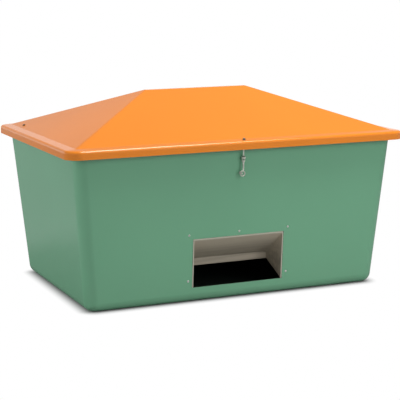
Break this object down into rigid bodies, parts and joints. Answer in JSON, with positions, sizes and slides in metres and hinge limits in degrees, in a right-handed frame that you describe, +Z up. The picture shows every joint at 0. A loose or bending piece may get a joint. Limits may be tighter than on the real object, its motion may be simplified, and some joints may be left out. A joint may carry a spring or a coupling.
{
  "type": "grit salt bin",
  "caption": "Large outdoor grit and salt bin with leaning walls, a hipped hinged lid with catch and prop, and a hooded dispensing opening at the front.",
  "frame": {"origin": "middle of the tub's base, on the ground", "axes": "+Z up, -Y towards the front with the opening and the catch, +X to the right seen from the front"},
  "size_m": [1.84, 1.287, 1.034],
  "materials": {
    "tub_gelcoat": "smooth glossy green gelcoat on moulded glass fibre",
    "lid_gelcoat": "smooth glossy orange gelcoat on moulded glass fibre",
    "hood_gelcoat": "satin grey gelcoat on moulded glass fibre",
    "hinge_steel": "satin stainless steel",
    "catch_steel": "satin stainless steel",
    "prop_steel": "galvanised steel",
    "fastener_steel": "stainless steel fasteners",
    "buffer_rubber": "black moulded rubber"
  },
  "bodies": {
    "tub": {"bin_tub": "tub_gelcoat", "bracket_bolts": "fastener_steel", "bracket_nuts": "fastener_steel", "bracket_washers": "fastener_steel", "catch_stud": "catch_steel", "catch_stud_nut": "fastener_steel", "catch_stud_washer": "fastener_steel", "dispensing_hood": "hood_gelcoat", "hinge_bracket_left": "hinge_steel", "hinge_bracket_right": "hinge_steel", "hinge_pin_left": "hinge_steel", "hinge_pin_right": "hinge_steel", "hood_nuts": "fastener_steel", "hood_screws": "fastener_steel", "hood_washers": "fastener_steel", "prop_rest": "prop_steel", "rim_buffers": "buffer_rubber"},
    "lid": {"catch_eye_bolt": "catch_steel", "catch_nuts": "fastener_steel", "catch_washers": "fastener_steel", "hinge_leaf_left": "hinge_steel", "hinge_leaf_right": "hinge_steel", "leaf_bolts": "fastener_steel", "leaf_nuts": "fastener_steel", "leaf_washers": "fastener_steel", "lid_shell": "lid_gelcoat", "prop_bracket": "prop_steel", "prop_bracket_bolt": "fastener_steel", "prop_bracket_nut": "fastener_steel", "prop_bracket_washer": "fastener_steel", "prop_pin": "prop_steel"},
    "link": {"catch_link": "catch_steel", "catch_pin": "catch_steel"},
    "prop": {"lid_prop": "prop_steel"}
  },
  "joints": [
    {"name": "lid_hinge", "type": "hinge", "parent": "tub", "child": "lid", "pos_m": [0, 0.6435, 0.768], "axis": [-1, 0, 0], "range_deg": [0, 70]},
    {"name": "catch_swing", "type": "hinge", "parent": "lid", "child": "link", "pos_m": [0, -0.60036, 0.73274], "axis": [-1, 0, 0], "range_deg": [-11, 110]},
    {"name": "prop_swing", "type": "hinge", "parent": "lid", "child": "prop", "pos_m": [-0.8001, 0.396, 0.792], "axis": [1, 0, 0], "range_deg": [-60, 17.23]}
  ]
}
